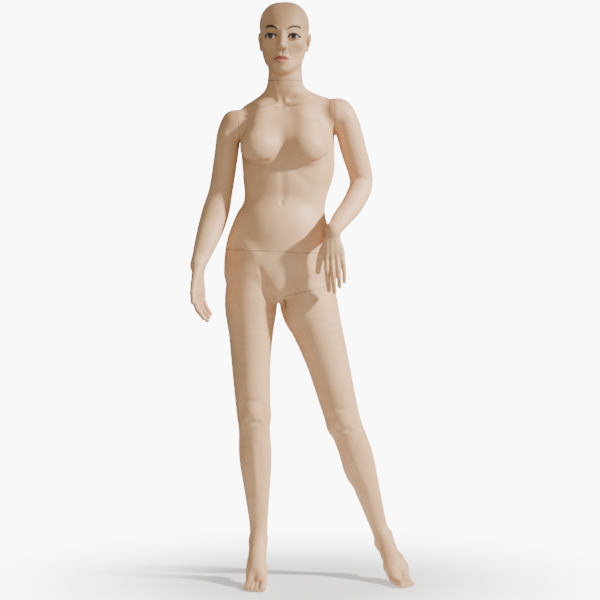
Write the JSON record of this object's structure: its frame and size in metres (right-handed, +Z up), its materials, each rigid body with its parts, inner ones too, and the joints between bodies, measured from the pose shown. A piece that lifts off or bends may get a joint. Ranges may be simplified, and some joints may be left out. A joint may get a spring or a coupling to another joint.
{
  "type": "full body mannequin",
  "caption": "Life-size female display mannequin in a high-heel stance, with a turning head, detachable arms and hands, a waist joint and one detachable leg.",
  "frame": {"origin": "centre of the mouth of the base-rod socket in the right heel, 74 mm above the level of the toes", "axes": "+Z up along the figure, +X to the figure's left, -Y to the front, where the face looks"},
  "size_m": [0.6516, 0.2848, 1.742],
  "materials": {
    "skin": "semi-gloss sprayed paint over moulded plastic",
    "board": "plain sawn board",
    "steel": "bright turned steel"
  },
  "bodies": {
    "lower_body": {"hips_and_right_leg_shell": "skin", "hip_disc": "board", "left_hip_disc": "board", "waist_socket": "steel", "waist_screw_1": "steel", "waist_screw_2": "steel", "waist_screw_3": "steel", "left_leg_socket": "steel", "left_leg_screw_1": "steel", "left_leg_screw_2": "steel", "base_rod_socket": "steel"},
    "waist_post": {"waist_stud": "steel", "waist_washer": "steel", "waist_nut": "steel"},
    "torso": {"torso_shell": "skin", "torso_waist_disc": "board", "neck_disc": "board", "neck_socket": "steel", "neck_screw_1": "steel", "neck_screw_2": "steel", "left_shoulder_disc": "board", "left_shoulder_socket": "steel", "left_shoulder_screw_1": "steel", "left_shoulder_screw_2": "steel", "right_shoulder_disc": "board", "right_shoulder_socket": "steel", "right_shoulder_screw_1": "steel", "right_shoulder_screw_2": "steel"},
    "neck_post": {"neck_stud": "steel", "neck_washer": "steel", "neck_nut": "steel"},
    "head": {"head_shell": "skin", "head_disc": "board"},
    "left_shoulder_post": {"left_shoulder_stud": "steel", "left_shoulder_washer": "steel", "left_shoulder_nut": "steel"},
    "left_arm": {"left_arm_shell": "skin", "left_arm_disc": "board", "left_forearm_disc": "board", "left_wrist_socket": "steel"},
    "left_wrist_post": {"left_wrist_peg": "steel"},
    "left_hand": {"left_hand": "skin"},
    "right_shoulder_post": {"right_shoulder_stud": "steel", "right_shoulder_washer": "steel", "right_shoulder_nut": "steel"},
    "right_arm": {"right_arm_shell": "skin", "right_arm_disc": "board", "right_forearm_disc": "board", "right_wrist_socket": "steel"},
    "right_wrist_post": {"right_wrist_peg": "steel"},
    "right_hand": {"right_hand": "skin"},
    "left_leg": {"left_leg_shell": "skin", "left_leg_disc": "board", "left_leg_stud": "steel", "left_leg_washer": "steel", "left_leg_nut": "steel", "left_leg_dowel": "steel"}
  },
  "joints": [
    {"name": "torso_lift", "type": "slide", "parent": "lower_body", "child": "waist_post", "axis": [0.0436, 0, 0.999], "range_m": [0, 0.06]},
    {"name": "waist_turn", "type": "hinge", "parent": "waist_post", "child": "torso", "pos_m": [0.067, -0.042, 0.922], "axis": [0.0436, 0, 0.999], "range_deg": [-35, 0]},
    {"name": "head_lift", "type": "slide", "parent": "torso", "child": "neck_post", "axis": [0, 0, 1], "range_m": [0, 0.045]},
    {"name": "head_turn", "type": "hinge", "parent": "neck_post", "child": "head", "pos_m": [0.08, -0.048, 1.431], "axis": [0, 0, 1], "range_deg": [-80, 80]},
    {"name": "left_arm_pull", "type": "slide", "parent": "torso", "child": "left_shoulder_post", "axis": [1, 0, 0], "range_m": [0, 0.04]},
    {"name": "left_arm_turn", "type": "hinge", "parent": "left_shoulder_post", "child": "left_arm", "pos_m": [0.2295, -0.046, 1.333], "axis": [-1, 0, 0], "range_deg": [0, 120]},
    {"name": "left_hand_pull", "type": "slide", "parent": "left_arm", "child": "left_wrist_post", "axis": [-0.2001, -0.5504, -0.8106], "range_m": [0, 0.014]},
    {"name": "left_hand_turn", "type": "hinge", "parent": "left_wrist_post", "child": "left_hand", "pos_m": [0.2245, -0.178, 0.982], "axis": [-0.2001, -0.5504, -0.8106], "range_deg": [-60, 0]},
    {"name": "right_arm_pull", "type": "slide", "parent": "torso", "child": "right_shoulder_post", "axis": [-0.9962, 0, -0.087], "range_m": [0, 0.04]},
    {"name": "right_arm_turn", "type": "hinge", "parent": "right_shoulder_post", "child": "right_arm", "pos_m": [-0.0565, -0.046, 1.294], "axis": [-0.9962, 0, -0.087], "range_deg": [-45, 120]},
    {"name": "right_hand_pull", "type": "slide", "parent": "right_arm", "child": "right_wrist_post", "axis": [-0.2001, -0.4002, -0.8943], "range_m": [0, 0.014]},
    {"name": "right_hand_turn", "type": "hinge", "parent": "right_wrist_post", "child": "right_hand", "pos_m": [-0.18, -0.134, 0.878], "axis": [-0.2001, -0.4002, -0.8943], "range_deg": [-60, 60]},
    {"name": "left_leg_pull", "type": "slide", "parent": "lower_body", "child": "left_leg", "axis": [0.235, 0, -0.972], "range_m": [0, 0.055]}
  ]
}
